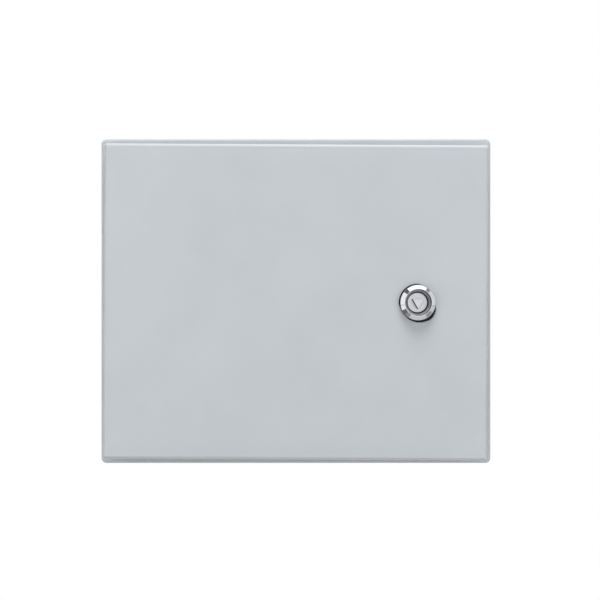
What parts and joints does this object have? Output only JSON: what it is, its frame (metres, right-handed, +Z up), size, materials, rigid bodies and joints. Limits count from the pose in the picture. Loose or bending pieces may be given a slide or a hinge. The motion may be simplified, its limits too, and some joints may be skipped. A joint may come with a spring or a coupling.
{
  "type": "steel wall enclosure",
  "caption": "Wall-mounting sheet steel enclosure with a hinged door, quarter-turn lock, inner mounting plate and a cable entry in the bottom.",
  "frame": {"origin": "centre of the four wall-fixing holes, on the plane of the back", "axes": "+X to the right seen from the front, +Y into the wall, +Z up"},
  "size_m": [0.3, 0.156, 0.25],
  "materials": {
    "powder_coat": "fine textured light grey powder coat",
    "zinc_sheet": "galvanised sheet",
    "zinc_hardware": "bright zinc plate",
    "copper_stud": "copper-flashed weld stud",
    "lock_chrome": "polished chrome plate",
    "insert_satin": "satin nickel plate",
    "foam_seal": "foamed polyurethane",
    "black_rubber": "black rubber"
  },
  "bodies": {
    "enclosure": {"body_shell": "powder_coat", "mounting_plate": "zinc_sheet", "plate_studs": "copper_stud", "plate_washers": "zinc_hardware", "plate_nuts": "zinc_hardware", "gland_plate": "powder_coat", "gland_gasket": "black_rubber", "gland_studs": "copper_stud", "gland_nuts": "zinc_hardware", "body_earth_stud": "copper_stud", "body_earth_washer": "zinc_hardware", "body_earth_nut": "zinc_hardware", "hinge_bracket_upper": "zinc_hardware", "hinge_bracket_lower": "zinc_hardware", "hinge_pin_upper": "zinc_hardware", "hinge_pin_lower": "zinc_hardware", "hinge_bracket_screws": "zinc_hardware", "hinge_bracket_nuts": "zinc_hardware"},
    "door": {"door_panel": "powder_coat", "door_seal": "foam_seal", "hinge_leaf_upper": "zinc_hardware", "hinge_leaf_lower": "zinc_hardware", "door_earth_stud": "copper_stud", "door_earth_washer": "zinc_hardware", "door_earth_nut": "zinc_hardware", "lock_housing": "lock_chrome", "lock_seal": "black_rubber", "lock_nut": "zinc_hardware"},
    "lock_rotor": {"lock_insert": "insert_satin", "insert_o_ring": "black_rubber", "lock_cam": "zinc_hardware", "cam_washer": "zinc_hardware", "cam_screw": "zinc_hardware"}
  },
  "joints": [
    {"name": "door_hinge", "type": "hinge", "parent": "enclosure", "child": "door", "pos_m": [-0.1405, -0.145, 0], "axis": [0, 0, -1], "range_deg": [0, 120]},
    {"name": "lock_turn", "type": "hinge", "parent": "door", "child": "lock_rotor", "pos_m": [0.092, -0.15, -0.0012], "axis": [0, 1, 0], "range_deg": [0, 90]}
  ]
}
